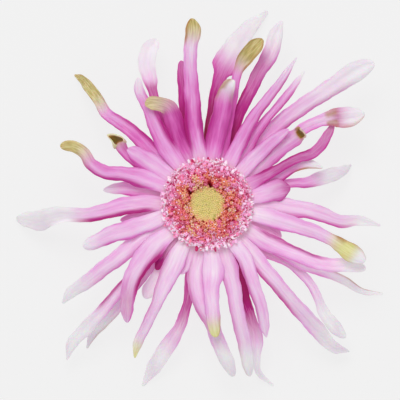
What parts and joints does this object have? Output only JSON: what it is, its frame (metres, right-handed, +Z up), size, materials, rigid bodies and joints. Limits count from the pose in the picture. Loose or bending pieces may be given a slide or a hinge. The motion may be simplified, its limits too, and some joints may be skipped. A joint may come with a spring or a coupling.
{
  "type": "cut gerbera",
  "caption": "Spider gerbera flower head cut just below the bloom, lying face up, with long narrow curling petals standing in tiers round a raised disc of small florets.",
  "frame": {"origin": "on the surface that the bloom lies on, under the middle of its outline seen from above", "axes": "+Z up out of the flower's face, along the stem stub's axis; +X and +Y lie in the surface: a bloom has no front, and petal_01 leaves the head within two degrees of +X"},
  "size_m": [0.1114, 0.1138, 0.029],
  "materials": {
    "petal": "soft matte ray petal, pale lilac pink above, magenta beneath, fine lengthwise ribs, whitish or olive tips",
    "trans_floret": "soft matte narrow straps, pale pink fading to white",
    "disc_floret": "soft matte coral and orange florets with dark red gaps",
    "bud": "downy yellow-green closed buds",
    "bract": "downy green bracts with paler edges and dark tips",
    "receptacle": "fleshy pale green, matte",
    "stem": "downy ribbed green stem with a pale moist cut face"
  },
  "bodies": {
    "root": {"stem": "stem", "receptacle": "receptacle", "inner_bracts": "bract", "outer_bracts": "bract", "trans_florets": "trans_floret", "outer_disc_florets": "disc_floret", "inner_disc_florets": "disc_floret", "centre_buds": "bud", "petal_01": "petal", "petal_02": "petal", "petal_03": "petal", "petal_04": "petal", "petal_05": "petal", "petal_06": "petal", "petal_07": "petal", "petal_08": "petal", "petal_09": "petal", "petal_10": "petal", "petal_11": "petal", "petal_12": "petal", "petal_13": "petal", "petal_14": "petal", "petal_15": "petal", "petal_16": "petal", "petal_17": "petal", "petal_18": "petal", "petal_19": "petal", "petal_20": "petal", "petal_21": "petal", "petal_22": "petal", "petal_23": "petal", "petal_24": "petal", "petal_25": "petal", "petal_26": "petal", "petal_27": "petal", "petal_28": "petal", "petal_29": "petal", "petal_30": "petal", "petal_31": "petal", "petal_32": "petal", "petal_33": "petal", "petal_34": "petal", "petal_35": "petal", "petal_36": "petal", "petal_37": "petal", "petal_38": "petal", "petal_39": "petal", "petal_40": "petal", "petal_41": "petal", "petal_42": "petal", "petal_43": "petal", "petal_44": "petal", "petal_45": "petal", "petal_46": "petal", "petal_47": "petal", "petal_48": "petal"}
  },
  "joints": []
}
